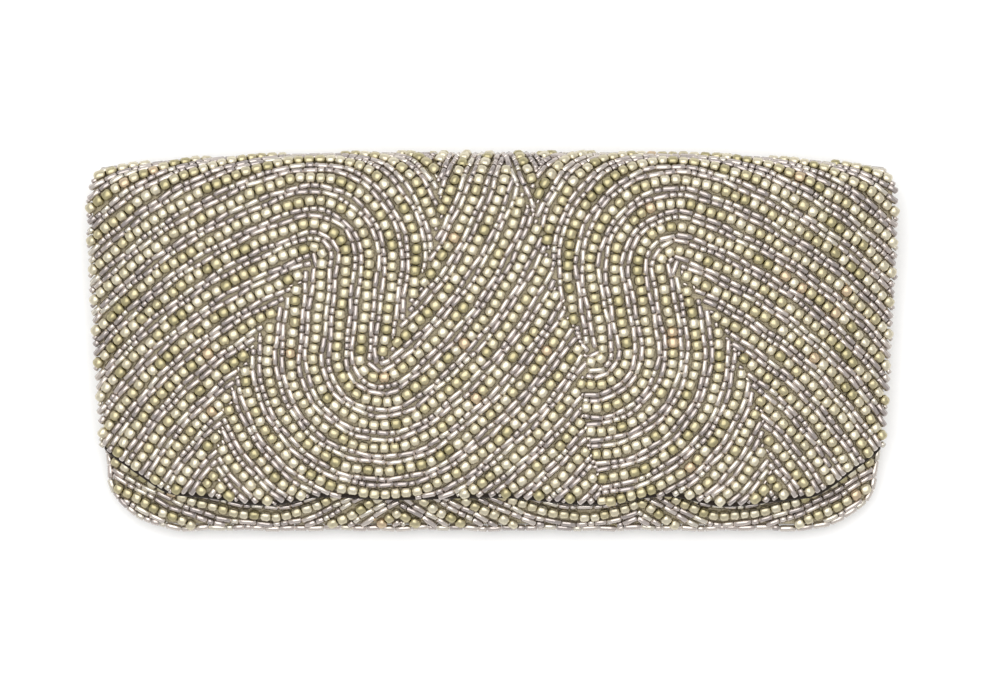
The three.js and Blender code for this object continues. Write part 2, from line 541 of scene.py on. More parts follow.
    def flap_points(self, across: Array, y: Array) -> Array:
        """Inner face of the flap: the pocket's face moved out by its wall and a clearance.

        Args:
            across: Places across the panel from -1 to 1.
            y: Places up the face.

        Returns:
            Points.
        """
        x = across * self.side_seam(y)
        edge = self.flap_edge(across * self.side_seam(self.edge_y))
        lift = self.edge_wave(x, 2) * (1 - smooth((y - edge) / self.edge_lift_reach))
        away = (self.wall + self.flap_clearance + lift)[..., None] * self.leaning(x, y)
        points = np.stack([x, y, self.pocket_height(x, y)], -1) + away
        opening = smooth((y - self.fold_end_lift_from) / (self.fold_y - self.fold_end_lift_from))
        points[..., 2] += self.fold_end_lift * across**self.fold_end_power * opening
        return points

    def back_points(self, across: Array, y: Array) -> Array:
        """Inner face of the back, from places across from -1 to 1."""
        x = across * self.side_seam(y)
        return np.stack([x, y, self.back_height(x, y)], -1)

    def fold_reach(self, across: Array) -> Array:
        """How far the rolled top stands out past the start of the roll."""
        return self.top - self.wall - self.fold_drop * np.abs(across) ** self.fold_bow - self.fold_y

    def rolled(self, across: Array, front: Array, back: Array, turn: Array) -> Array:
        """Rolls the cloth from the flap over to the back.

        Args:
            across: Places across the panel from -1 to 1.
            front: Where the roll starts on the flap.
            back: Where it ends on the back.
            turn: Angle round the roll, from 0 at the flap to pi at the back.

        Returns:
            Points of the inner face.
        """
        share = ((1 - np.cos(turn)) / 2)[..., None]
        points = front + (back - front) * share
        points[..., 0] -= self.fold_narrowing * across * np.sin(turn)
        points[..., 1] += self.fold_reach(across) * np.sin(turn)
        return points

    def half_roll(self, across: Array) -> Array:
        """Length of beadwork from the start of the roll to its outermost line, a quarter of an ellipse.

        Args:
            across: Places across the panel from -1 to 1.

        Returns:
            Lengths.
        """
        level = self.cloth + self.bead_level
        ends = np.full_like(across, self.fold_y)
        deep = self.flap_points(across, ends)[..., 2] - self.back_points(across, ends)[..., 2]
        wide, high = self.fold_reach(across) + level, deep / 2 + level
        return math.pi / 4 * (3 * (wide + high) - np.sqrt((3 * wide + high) * (wide + 3 * high)))

    def turn(self, across: Array, t: Array) -> Array:
        """Angle round the roll, counted from the nearer face."""
        return math.pi / 2 * np.maximum(t - self.fold_y, 0) / self.half_roll(across)


@dataclass(frozen=True)
class Swirl:
    """One S-shaped family of rows: a bent line, an arch, a straight, a bowl and a bent rise."""

    arch: tuple[float, float]
    bowl: tuple[float, float]
    lead_in: float  # slope of the line that comes into the arch, in degrees
    fall: float  # lean of the straight from the arch to the bowl
    rise: float  # slope of the line that leaves the bowl
    lead_bend: float  # radius that the first line bends with
    rise_bend: float
    first_row: float  # place of a row of gold beads, from the arch's centre
    mirrored: bool = False
    step: float = 0.5
    least_radius: float = 0.3
    lead_reach: float = 130.0
    rise_reach: float = 170.0

    @property
    def mirror(self) -> Array:
        """Signs that mirror a place or leave it."""
        return np.array([-1.0 if self.mirrored else 1.0, 1.0])

    def axes(self) -> SimpleNamespace:
        """Finds the centres, directions and normals of the five stretches.

        Returns:
            Vectors by name, and how far apart the centres are across the straight.
        """
        a, b, c = (math.radians(v) for v in (self.lead_in, self.fall, self.rise))
        arch, bowl = np.array(self.arch), np.array(self.bowl)
        fall_normal = np.array([math.cos(b), -math.sin(b)])
        return SimpleNamespace(
            arch=arch,
            bowl=bowl,
            reach=(bowl - arch) @ fall_normal,
            lead=np.array([math.cos(a), math.sin(a)]),
            lead_normal=np.array([-math.sin(a), math.cos(a)]),
            fall=np.array([-math.sin(b), -math.cos(b)]),
            fall_normal=fall_normal,
            rise=np.array([math.cos(c), math.sin(c)]),
            rise_normal=np.array([math.sin(c), -math.cos(c)]),
        )

    def distance(self, points: Array) -> Array:
        """Which row of the family a place belongs to.

        Args:
            points: Places on the flattened cloth.

        Returns:
            The rows' distances from the arch's centre.
        """
        axes = self.axes()
        spots = points * self.mirror
        u, w = spots - axes.arch, spots - axes.bowl
        lead = norm(u + axes.lead_normal * self.lead_bend, axis=-1) - self.lead_bend
        rise = axes.reach - norm(w + axes.rise_normal * self.rise_bend, axis=-1) + self.rise_bend
        arch, bowl = norm(u, axis=-1), axes.reach - norm(w, axis=-1)
        fall = u @ axes.fall_normal
        before_arch, after_arch = u @ axes.lead < 0, u @ axes.fall > 0
        above_bowl, past_bowl = w @ axes.fall <= 0, w @ axes.rise > 0
        lower = np.where(above_bowl, fall, np.where(past_bowl, rise, bowl))
        lower = np.where(above_bowl & past_bowl, np.minimum(fall, rise), lower)
        upper = np.where(past_bowl, np.minimum(arch, rise), arch)
        inside = np.where(after_arch, lower, upper)
        return np.where(before_arch, np.where(after_arch, np.maximum(lead, lower), lead), inside)

    def path(self, offset: float) -> Array:
        """Draws one row from end to end, whether or not the cloth holds all of it.

        Args:
            offset: The row's distance from the arch's centre.

        Returns:
            Places on the flattened cloth.
        """
        axes = self.axes()
        quarter = math.pi / 2
        lead, fall, rise = (math.radians(v) for v in (self.lead_in, self.fall, self.rise))
        left = axes.reach - offset
        start, end = axes.arch + axes.fall_normal * offset, axes.bowl - axes.fall_normal * left
        centre, span = axes.arch - axes.lead_normal * self.lead_bend, self.lead_reach / self.lead_bend
        legs = [self.arc(centre, self.lead_bend + offset, quarter + lead + span, quarter + lead)]
        if offset > self.least_radius:
            legs.append(self.arc(axes.arch, offset, quarter + lead, -fall))
        count = max(2, int(norm(end - start) / self.step))
        legs.append(start + (end - start) * np.linspace(0, 1, count)[:, None])
        if left > self.least_radius:
            legs.append(self.arc(axes.bowl, left, math.pi - fall, 3 * quarter + rise))
        centre, span = axes.bowl - axes.rise_normal * self.rise_bend, self.rise_reach / self.rise_bend
        legs.append(self.arc(centre, self.rise_bend + left, rise - quarter, rise - quarter + span))
        return np.concatenate(legs) * self.mirror

    def arc(self, centre: Array, radius: float, start: float, end: float) -> Array:
        """Draws an arc.

        Args:
            centre: Its centre.
            radius: Its radius.
            start: Angle that it starts at, in radians.
            end: Angle that it ends at.

        Returns:
            Points along it.
        """
        count = max(3, int(abs(end - start) * abs(radius) / self.step))
        turn = np.linspace(start, end, count)[:, None]
        return centre + radius * np.concatenate([np.cos(turn), np.sin(turn)], 1)


@dataclass(frozen=True)
class Rhythm:
    """How the rows repeat across the cloth: one row of gold beads, then two of bugles."""

    period: float = 6.92
    bugles: tuple[float, float] = (0.36, 0.64)

    def offsets(self, kind: Kind, first: float, low: float, high: float) -> list[float]:
        """Lists the places of one kind of row.

        Args:
            kind: The kind of bead.
            first: A place with a row of gold beads.
            low: The lowest place.
            high: The highest place.

        Returns:
            The places in order.
        """
        phases = (0.0,) if kind is Kind.GOLD else self.bugles
        start, stop = math.floor((low - first) / self.period), math.ceil((high - first) / self.period)
        turns = [number + phase for number in range(start, stop + 1) for phase in phases]
        return [first + turn * self.period for turn in turns]


@dataclass(frozen=True)
class SwirlPattern:
    """The two swirls of the flap and the back, and the line where they meet."""

    rhythm: Rhythm = Rhythm()
    left: Swirl = Swirl(
        arch=(-53.66, 24.12),
        bowl=(-32.83, -5.04),
        lead_in=18.4,
        fall=5.9,
        rise=36.8,
        lead_bend=128.7,
        rise_bend=102.2,
        first_row=-3.48,
    )
    right: Swirl = Swirl(
        arch=(-54.86, 21.7),
        bowl=(-30.0, -3.64),
        lead_in=19.9,
        fall=9.7,
        rise=35.0,
        lead_bend=131.1,
        rise_bend=97.2,
        first_row=-1.92,
        mirrored=True,
    )
    meeting: tuple = (  # t, x
        (-59, 36.4), (-49, 33.4), (-30.5, 28.3), (-20, 26.2), (-7, 28.1),
        (12, 20.5), (32.5, 14.3), (49, 5.9), (69, -1.9),
    )
    farthest: float = 150.0
    tolerance: float = 0.05  # how far a place may be off its own row

    def rows(self, kind: Kind, half_width: float) -> Rows:
        """Lists the runs of rows of one kind, on the flattened cloth.

        Args:
            kind: The kind of bead.
            half_width: Half the width of such a row.

        Returns:
            Runs of closely spaced places.
        """
        along, across = zip(*self.meeting)
        runs = []
        for swirl in (self.left, self.right):
            for offset in self.rhythm.offsets(kind, swirl.first_row, -self.farthest, self.farthest):
                path = swirl.path(offset)
                past = path[:, 0] - np.interp(path[:, 1], along, across)
                own = past > 0 if swirl.mirrored else past < 0
                kept = own & (np.abs(swirl.distance(path) - offset) < self.tolerance)
                runs += butted(pieces_of(path, kept), half_width)
        return runs


@dataclass(frozen=True)
class WavePattern:
    """The waves of the pocket: rows that hang in three round troughs and meet in points between them."""

    rhythm: Rhythm = Rhythm(period=6.65)
    troughs: tuple = (  # centre, level in rows, curves to the left and to the right
        (-67.0, 0, 0.0088, 0.0165),
        (27.3, -1, 0.0106, 0.0137),
        (70.6, -2, 0.0165, 0.0088),
    )
    steepest: float = 0.85
    first_row: float = -52.1
    lowest: float = -90.0
    highest: float = 60.0
    side: float = 120.0
    step: float = 0.5

    def heights(self, x: Array) -> Array:
        """Height of a row, for each trough in turn.

        Args:
            x: Places across.

        Returns:
            Heights by trough and place.
        """
        waves = []
        for centre, level, left, right in self.troughs:
            curve = np.where(x < centre, left, right)
            round_off = self.steepest**2 / (2 * curve)
            rise = np.hypot(round_off, self.steepest * (x - centre)) - round_off
            waves.append(rise + level * self.rhythm.period)
        return np.array(waves)

    def rows(self, kind: Kind, half_width: float) -> Rows:
        """Lists the runs of rows of one kind, on the pocket as it lies.

        Args:
            kind: The kind of bead.
            half_width: Half the width of such a row.

        Returns:
            Runs of closely spaced places.
        """
        x = np.arange(-self.side, self.side, self.step)
        waves = self.heights(x)
        owner = np.argmin(waves, axis=0)
        spread = np.hypot(1, np.gradient(waves, x, axis=1))
        runs = []
        for offset in self.rhythm.offsets(kind, self.first_row, self.lowest, self.highest):
            legs = []
            for number, wave in enumerate(waves):
                y = wave + self.first_row + (offset - self.first_row) * spread[number]
                own = owner == number
                legs.append(np.stack([x[own], y[own]], 1))
            runs += butted(legs, half_width)
        return runs


def pieces_of(path: Array, kept: Array) -> Rows:
    """Cuts a path into the runs that are kept.

    Args:
        path: Points along a row.
        kept: Which of them stay.

    Returns:
        The runs, each with at least two points.
    """
    jump = norm(np.diff(path, axis=0), axis=1) > LARGEST_STEP
    runs = []
    start = None
    for i, keep in enumerate(kept):
        broken = i > 0 and jump[i - 1]
        if start is not None and (broken or not keep):
            runs.append(path[start:i])
            start = None
        if keep and start is None:
            start = i
    if start is not None:
        runs.append(path[start:])
    return [run for run in runs if len(run) > 1]


def butted(runs: Rows, half_width: float) -> Rows:
    """Makes butt joints at corners: one run goes on past the corner, and the next starts at its side.

    Args:
        runs: Runs of one row, in order.
        half_width: Half the width of the row.

    Returns:
        The runs, some of them longer or shorter.
    """
    made = []
    for number, run in enumerate(runs):
        before = runs[number - 1] if number else None
        if before is not None and norm(run[0] - before[-1]) < CORNER_GAP:
            ways = unit(np.stack([before[-1] - before[-2], run[1] - run[0]]))
            corner = min(math.acos(np.clip(ways[0] @ ways[1], -1, 1)), SHARPEST_CORNER)
            overlap = half_width * math.tan(corner / 2)
            if made:
                made[-1] = np.concatenate([made[-1], made[-1][-1:] + ways[:1] * min(overlap, half_width)])
            run = run[norm(run - before[-1], axis=1) > overlap]
        if len(run) > 1:
            made.append(run)
    return made


@dataclass
class Panel:
    """A face of the clutch, as places on flattened cloth that map to points in space."""

    form: ClutchForm
    turned: float = 1.0  # -1 where the map's own normal points inwards
    edge_margin: float = 0.1
    slope_step: float = 0.25

    def inner(self, x: Array, t: Array) -> Array:
        """Points of the inner face."""
        raise NotImplementedError

    def limits(self, x: Array, t: Array) -> tuple[Array, Array]:
        """Lowest and highest places of beads."""
        raise NotImplementedError

    def side(self, t: Array) -> Array:
        """Half the width of the flattened cloth."""
        return self.form.side_seam(np.minimum(t, self.form.fold_y))

    def ridge(self, x: Array, t: Array) -> Array:
        """Where the outermost line of the roll lies on the flattened cloth."""
        return self.form.fold_y + self.form.half_roll(np.clip(x / self.side(t), -1, 1))

    def holds(self, x: Array, t: Array) -> Array:
        """Which places are far enough inside the panel for a bead."""
        low, high = self.limits(x, t)
        return (np.abs(x) < self.side(t) - self.edge_margin) & (t > low) & (t < high)

    def normals(self, face: Callable[[Array, Array], Array], x: Array, t: Array) -> Array:
        """Directions that a face looks in.

        Args:
            face: Gives points of the face.
            x, t: Places across and along.

        Returns:
            Unit vectors.
        """
        step = self.slope_step
        across = face(x + step, t) - face(x - step, t)
        along = face(x, t + step) - face(x, t - step)
        return unit(np.cross(across, along))

    def facing(self, x: Array, t: Array) -> Array:
        """Outward directions; those of the last half millimetre are its inner edge's."""
        most = self.side(t) - 2 * self.slope_step
        return self.normals(self.inner, np.clip(x, -most, most), t) * self.turned

    def raised(self, x: Array, t: Array, level: float) -> Array:
        """Points at a level above the inner face."""
        return self.inner(x, t) + self.facing(x, t) * level

    def settle(self, row: Array) -> Array:
        """Moves a row that is drawn as it looks from above to its place on the cloth."""
        return row

    def cut(self, rows: Rows) -> Rows:
        """Cuts rows into the runs that lie on the panel."""
        settled = [self.settle(row) for row in rows]
        return [run for row in settled for run in pieces_of(row, self.holds(row[:, 0], row[:, 1]))]


@dataclass
class FlapPanel(Panel):
    """The flap and the near half of the rolled top."""

    edge_margin: float = -1.3
    edge_fall: float = 0.4  # slope of the beads that lap over the sides
    free_edge_margin: float = 0.5
    edge_step: float = 0.5
    ridge_margin: float = -0.9
    settle_rounds: int = 3
    settle_past: float = 8.0  # how far past the start of the roll rows are still moved
    settle_fade: float = 20.0

    def inner(self, x: Array, t: Array) -> Array:
        """Points of the inner face, which goes on past the sides.

        Args:
            x, t: Places across and along.

        Returns:
            Points.
        """
        form = self.form
        y, side = np.minimum(t, form.fold_y), self.side(t)
        across = np.clip(x / side, -1, 1)
        back = form.back_points(across, np.full_like(y, form.fold_y))
        face = form.rolled(across, form.flap_points(across, y), back, form.turn(across, t))
        past = x - np.clip(x, -side, side)
        return face + np.stack([past, np.zeros_like(past), -self.edge_fall * np.abs(past)], -1)

    def settle(self, row: Array) -> Array:
        """Moves a row that is drawn as it looks from above to its place on the leaning cloth.

        Args:
            row: Places along the row.

        Returns:
            Places on the flattened cloth.
        """
        form = self.form
        level = (form.cloth + form.wall) / 2
        placed = row.copy()
        for _ in range(self.settle_rounds):
            y = np.clip(placed[:, 1], form.edge_y, form.fold_y)
            most = form.side_seam(y) - 2 * self.slope_step
            flat = np.stack([np.clip(placed[:, 0], -most, most), y], 1)
            lean = self.raised(flat[:, 0], y, level)[:, :2] - flat
            fade = smooth((form.fold_y + self.settle_past - placed[:, 1]) / self.settle_fade)[:, None]
            placed = row - lean * fade
        return placed

    def limits(self, x: Array, t: Array) -> tuple[Array, Array]:
        """Lowest and highest places of beads.

        Args:
            x, t: Places across and along.

        Returns:
            Places near the free edge, and near the outermost line of the roll.
        """
        form, step = self.form, self.edge_step
        at = np.clip(x / self.side(t), -1, 1) * form.side_seam(form.edge_y)
        slope = (form.flap_edge(at + step) - form.flap_edge(at - step)) / (2 * step)
        low = form.flap_edge(at) + self.free_edge_margin * np.hypot(1, slope)
        return low, self.ridge(x, t) - self.ridge_margin


@dataclass
class BackPanel(Panel):
    """The back and the far half of the rolled top."""

    turned: float = -1.0
    ridge_margin: float = 1.1

    def inner(self, x: Array, t: Array) -> Array:
        """Points of the inner face.

        Args:
            x, t: Places across and along.

        Returns:
            Points.
        """
        form = self.form
        y = np.minimum(t, form.fold_y)
        across = x / form.side_seam(y)
        front = form.flap_points(across, np.full_like(y, form.fold_y))
        return form.rolled(across, front, form.back_points(across, y), math.pi - form.turn(across, t))

    def limits(self, x: Array, t: Array) -> tuple[Array, Array]:
        """Lowest and highest places of beads."""
        return self.form.bottom_seam(x) + self.edge_margin, self.ridge(x, t) - self.ridge_margin


@dataclass
class PocketPanel(Panel):
    """The pocket's front."""

    mouth_margin: float = 0.8
    seam_inset: float = 0.05  # where the face ends and its overhang starts
    seam_row_reach: float = 0.5  # how far past the seam the row along it lies
    seam_row_top: float = -28.0
    seam_row_steps: tuple[int, int] = (28, 600)  # up a side, and along the bottom
    overhang_fall: float = 0.7

    def inner(self, x: Array, t: Array) -> Array:
        """Points of the inner face."""
        return np.stack([x, t, self.form.pocket_height(x, t)], -1)

    def raised(self, x: Array, t: Array, level: float) -> Array:
        """Points at a level above the inner face, out along the directions that its thickness leans in.

        Args:
            x, t: Places across and along.
            level: The level.

        Returns:
            Points.
        """
        most = self.form.side_seam(t) - self.seam_inset
        within = np.clip(x, -most, most)
        above = np.maximum(t, self.form.bottom_seam(within) + self.seam_inset)
        out_x, out_t = x - within, t - above
        past = np.stack([out_x, out_t, -self.overhang_fall * np.hypot(out_x, out_t)], -1)
        return self.inner(within, above) + self.form.leaning(within, above) * level + past

    def facing(self, x: Array, t: Array) -> Array:
        """Outward directions half way up the beads."""
        return self.normals(partial(self.raised, level=self.form.wall / 2), x, t)

    def limits(self, x: Array, t: Array) -> tuple[Array, float]:
        """Lowest and highest places of beads."""
        return self.form.bottom_seam(x) + self.edge_margin, self.form.mouth_y - self.mouth_margin

    def seam_row(self) -> Array:
        """Draws the row that covers the seam, down one side, along the bottom and up the other side.

        Returns:
            Places along the row.
        """
        form = self.form
        side_steps, bottom_steps = self.seam_row_steps
        corner_top = form.bottom_edge_reach - form.top + form.bottom_corner[1]
        down = np.linspace(self.seam_row_top, corner_top, side_steps)
        turn = np.linspace(-math.pi / 2, math.pi / 2, bottom_steps)
        x = np.sin(turn) * form.side_seam(corner_top)
        bottom = np.stack([x, form.bottom_seam(x)], 1)
        left = np.stack([-form.side_seam(down), down], 1)
        line = np.concatenate([left[:-1], bottom, (left * (-1, 1))[::-1][1:]])
        way = unit(np.gradient(line, axis=0))
        return line + np.stack([way[:, 1], -way[:, 0]], 1) * self.seam_row_reach


@dataclass
class Strung:
    """Beads laid on a panel: where each one is, how it lies and how it differs from its neighbours."""

    points: Rows = field(default_factory=list)
    along: Rows = field(default_factory=list)
    outward: Rows = field(default_factory=list)
    reach: list[float] = field(default_factory=list)
    girth: list[float] = field(default_factory=list)
    tone: list[float] = field(default_factory=list)

    def mesh(self, name: str) -> Mesh:
        """Keeps the beads as bare points with attributes.

        Args:
            name: Name of the mesh.

        Returns:
            The mesh, in metres.
        """
        mesh = bpy.data.meshes.new(name)
        mesh.from_pydata((np.array(self.points) * MM).tolist(), [], [])
        for key in ("along", "outward"):
            made = mesh.attributes.new(key, "FLOAT_VECTOR", "POINT")
            made.data.foreach_set("vector", np.array(getattr(self, key), np.float32).ravel())
        for key in ("reach", "girth", "tone"):
            made = mesh.attributes.new(key, "FLOAT", "POINT")
            made.data.foreach_set("value", np.array(getattr(self, key), np.float32))
        made = mesh.attributes.new("bead", "INT", "POINT")
        made.data.foreach_set("value", np.arange(len(self.points), dtype=np.int32))
        return mesh


@dataclass
class Stringing:
    """Beads of one kind strung along the rows of a panel."""

    kind: Kind
    shape: BeadShape
    lengths: tuple  # pairs of a share and the range of lengths that it covers
    tilt: float  # most that a bead leans, in radians
    thinnest: float  # the thinnest bead, as a share
    likeness: float  # chance that a bead has its neighbour's tone
    rolled: float  # share of beads that are turned about the thread, away from the light
    roll: tuple[float, float] = (0.3, 0.6)
    wander: float = 0.16  # how far a row strays to its sides
    wander_lengths: tuple[float, float] = (13.0, 31.0)
    gap: float = 0.14  # thread left bare between beads
    sunk: float = 0.05  # how far the thread pulls a bead into the cloth
    least_run: float = 0.75  # shortest run that holds a bead, as a share of the shortest bead
    held: float = 0.1  # how far inside its ends a bead follows the row, as a share
    map_margin: float = 0.06  # of each bead's square on the map

    @property
    def half_width(self) -> float:
        """Half the width of a row."""
        return self.shape.diameter / 2

    def tree(self) -> NodeTree:
        """Builds the node tree that puts a bead on each point.

        Returns:
            The tree, with named inputs.
        """
        tree = bpy.data.node_groups.new(f"strung_{self.kind.value}", "GeometryNodeTree")
        sockets = {"Geometry": "Geometry", "Bead": "Object", "Tilt": "Float", "Seed": "Int"}
        for name, kind in (sockets | {"Finish": "Material"}).items():
            tree.interface.new_socket(name, in_out="INPUT", socket_type=f"NodeSocket{kind}")
        tree.interface.new_socket("Geometry", in_out="OUTPUT", socket_type="NodeSocketGeometry")
        given = add_node(tree, "NodeGroupInput").outputs
        kinds = {"along": "FLOAT_VECTOR", "outward": "FLOAT_VECTOR", "reach": "FLOAT", "girth": "FLOAT"}
        along, outward, reach, girth = (
            add_node(tree, "GeometryNodeInputNamedAttribute", {"data_type": kind}, {"Name": name})
            for name, kind in kinds.items()
        )
        axes = {"primary_axis": "X", "secondary_axis": "Z"}
        ways = {"Primary Axis": along, "Secondary Axis": outward}
        lie = add_node(tree, "FunctionNodeAxesToRotation", axes, links=ways)
        tilt = given["Tilt"]
        other_way = add_node(tree, "ShaderNodeMath", {"operation": "MULTIPLY"}, {1: -1.0}, {0: tilt})
        limits = {"Min": other_way, "Max": tilt, "Seed": given["Seed"]}
        lean = add_node(tree, "FunctionNodeRandomValue", {"data_type": "FLOAT_VECTOR"}, links=limits)
        turn = add_node(tree, "FunctionNodeEulerToRotation", links={"Euler": lean})
        turns = {"Rotation": lie, "Rotate By": turn}
        placed = add_node(tree, "FunctionNodeRotateRotation", {"rotation_space": "LOCAL"}, links=turns)
        size = add_node(tree, "ShaderNodeCombineXYZ", links={"X": reach, "Y": girth, "Z": girth})
        bead = add_node(tree, "GeometryNodeObjectInfo", links={"Object": given["Bead"]}).outputs["Geometry"]
        places = {"Points": given["Geometry"], "Instance": bead, "Rotation": placed, "Scale": size}
        strung = add_node(tree, "GeometryNodeInstanceOnPoints", links=places)
        real = add_node(tree, "GeometryNodeRealizeInstances", links={"Geometry": strung})
        finish = {"Geometry": real, "Material": given["Finish"]}
        dressed = add_node(tree, "GeometryNodeSetMaterial", links=finish)
        add_node(tree, "NodeGroupOutput", links={"Geometry": dressed})
        return tree

    def draw_lengths(self, total: float, chance: np.random.Generator) -> Array:
        """Picks beads that fill a length of thread.

        Args:
            total: Length of the run.
            chance: Source of the differences.

        Returns:
            Room that each bead takes, in order.
        """
        shares, ranges = zip(*self.lengths)
        shortest = min(low for low, _ in ranges)
        if total < self.least_run * shortest:
            return np.array([])
        count = int(total / shortest) + 2
        picks = np.array(ranges)[chance.choice(len(ranges), count, p=shares)]
        rooms = picks[:, 0] + (picks[:, 1] - picks[:, 0]) * chance.random(count) + self.gap
        filled = np.cumsum(rooms)
        number = int(np.argmin(np.abs(filled - total))) + 1
        return rooms[:number] * total / filled[number - 1]

    def strayed(self, run: Array, chance: np.random.Generator) -> Array:
        """Lets a run stray a little to both sides, as hand-sewn rows do.

        Args:
            run: Places along the run.
            chance: Source of the differences.

        Returns:
            The places, moved.
        """
        ways = unit(np.gradient(run, axis=0))
        far = np.cumsum(norm(np.diff(run, axis=0, prepend=run[:1]), axis=1))
        waves = [np.sin(2 * math.pi * (far / length + chance.random())) for length in self.wander_lengths]
        return run + np.stack([-ways[:, 1], ways[:, 0]], 1) * (self.wander * sum(waves))[:, None]

    def lay(self, panel: Panel, runs: Rows, widths: list[float], seed: int) -> Strung:
        """Lays beads along runs of a panel.

        Args:
            panel: The panel.
            runs: Runs on the flattened cloth, all of them on the panel.
            widths: Width of the beads of each run, as a share.
            seed: Seed of the differences between beads.

        Returns:
            The beads.
        """
        chance = np.random.default_rng(seed)
        level = self.shape.height / 2 + panel.form.cloth - self.sunk
        laid = Strung()
        tone = chance.random()
        for run, width in zip(runs, widths):
            run = self.strayed(run, chance)
            path = panel.raised(run[:, 0], run[:, 1], level)
            far = np.concatenate([[0], np.cumsum(norm(np.diff(path, axis=0), axis=1))])
            rooms = self.draw_lengths(far[-1], chance)
            count = len(rooms)
            if not count:
                continue
            ends = np.cumsum(rooms)
            middles = ends - rooms / 2
            start, middle, end = (
                np.stack([np.interp(at, far, path[:, axis]) for axis in range(3)], 1)
                for at in (ends - (1 - self.held) * rooms, middles, ends - self.held * rooms)
            )
            spots = np.stack([np.interp(middles, far, run[:, axis]) for axis in range(2)], 1)
            along, outward = unit(end - start), panel.facing(spots[:, 0], spots[:, 1])
            turned = chance.random(count) < self.rolled
            roll = np.where(turned, chance.uniform(*self.roll, count), 0)
            roll = (roll * chance.choice((-1, 1), count))[:, None]
            laid.points += list(middle)
            laid.along += list(along)
            laid.outward += list(outward * np.cos(roll) + np.cross(along, outward) * np.sin(roll))
            laid.reach += list((rooms - self.gap) / self.shape.length)
            laid.girth += list(width * chance.uniform(self.thinnest, 1, count))
            for _ in rooms:
                tone = tone if chance.random() < self.likeness else chance.random()
                laid.tone.append(tone)
        return laid

    def build(self, name: str, laid: Strung, finish: Material, seed: int) -> Object:
        """Puts a bead at each place and makes them one plain mesh.

        Args:
            name: Name of the piece.
            laid: Where the beads lie.
            finish: Material of the beads.
            seed: Seed of the beads' small leans.

        Returns:
            The piece.
        """
        bead = self.shape.build(f"{name}_bead")
        threads = link(laid.mesh(f"{name}_threads"))
        tree = self.tree()
        modifier = threads.modifiers.new("strung", "NODES")
        modifier.node_group = tree
        inputs = {"Bead": bead, "Tilt": self.tilt, "Seed": seed, "Finish": finish}
        for item in tree.interface.items_tree:
            if item.in_out == "INPUT" and item.name in inputs:
                modifier[item.identifier] = inputs[item.name]
        graph = bpy.context.evaluated_depsgraph_get()
        mesh = bpy.data.meshes.new_from_object(
            threads.evaluated_get(graph), preserve_all_data_layers=True, depsgraph=graph
        )
        mesh.name = name
        for spent in (threads, bead):
            bpy.data.objects.remove(spent)
        self.spread_map(mesh)
        return link(mesh)

    def spread_map(self, mesh: Mesh) -> None:
        """Gives each bead a square of its own on the map.

        Args:
            mesh: The mesh of all beads.
        """
        numbers = np.empty(len(mesh.vertices), np.int32)
        mesh.attributes["bead"].data.foreach_get("value", numbers)
        places = np.empty(2 * len(mesh.loops), np.float32)
        layer = mesh.uv_layers["OFBake"]
        layer.data.foreach_get("uv", places)
        own = numbers[corners_of(mesh)]
        side = math.ceil(math.sqrt(own.max() + 1))
        cells = np.stack([own % side, own // side], 1)
        spread = (cells + self.map_margin + (1 - 2 * self.map_margin) * places.reshape(-1, 2)) / side
        layer.data.foreach_set("uv", spread.astype(np.float32).ravel())


@dataclass(frozen=True)
class GapFilling:
    """Loose beads sewn into the gaps where rows end against other rows."""

    grid: float = 0.5
    inset: float = 0.3  # how far inside the panel a loose bead stays
    side: float = 119.0
    lowest: float = -58.0
    highest: float = 64.0
    sizes: tuple = ((Kind.GOLD, 1.5, 0.8), (Kind.SILVER, 0.8, 0.5))  # half length, least share of the width

    def spots(self, panel: Panel) -> Array:
        """Places on a grid that are well inside the panel.

        Args:
            panel: The panel.

        Returns:
            The places.
        """
        across = np.arange(-self.side, self.side, self.grid)
        along = np.arange(self.lowest, self.highest, self.grid)
        x, t = (axis.ravel() for axis in np.meshgrid(across, along))
        inside = np.ones_like(x, bool)
        for move_x, move_t in ((-1, -1), (-1, 1), (1, -1), (1, 1)):
            inside &= panel.holds(x + move_x * self.inset, t + move_t * self.inset)
        return np.stack([x[inside], t[inside]], 1)

    def find(
        self, panel: Panel, runs: dict[Kind, Rows], half_widths: dict[Kind, float]
    ) -> dict[Kind, list[tuple[Array, float]]]:
        """Finds room for loose beads.

        Args:
            panel: The panel.
            runs: Runs of each kind that are there already.
            half_widths: Half the width of each kind of row.

        Returns:
            For each kind, the ends of each loose bead and its width as a share.
        """
        spots = self.spots(panel)
        room = np.full(len(spots), np.inf)
        ways = np.zeros_like(spots)
        for kind in Kind:
            reach = half_widths[kind]
            places, headings = [], []
            for run in runs[kind]:
                kept = (norm(run[:, None] - run[[0, -1]], axis=2) > reach).all(axis=1)
                places += list(run[kept])
                headings += list(unit(np.gradient(run, axis=0))[kept])
            finder = KDTree(len(places))
            for i, (x, t) in enumerate(places):
                finder.insert((x, t, 0.0), i)
            finder.balance()
            for i, (x, t) in enumerate(spots):
                _, nearest, far = finder.find((x, t, 0.0))
                if far - reach < room[i]:
                    room[i] = far - reach
                    ways[i] = headings[nearest]
        loose = {kind: [] for kind in Kind}
        for kind, half, narrowest in self.sizes:
            while room.max() > narrowest * half_widths[kind]:
                best = int(room.argmax())
                ends = np.stack([spots[best] - ways[best] * half, spots[best] + ways[best] * half])
                width = min(room[best], half_widths[kind])
                loose[kind].append((ends, width / half_widths[kind]))
                past = np.clip((spots - spots[best]) @ ways[best], width - half, half - width)
                far = norm(spots - spots[best] - past[:, None] * ways[best], axis=1)
                room = np.minimum(room, far - width)
            LOG.info("loose %s: %d", kind.value, len(loose[kind]))
        return loose


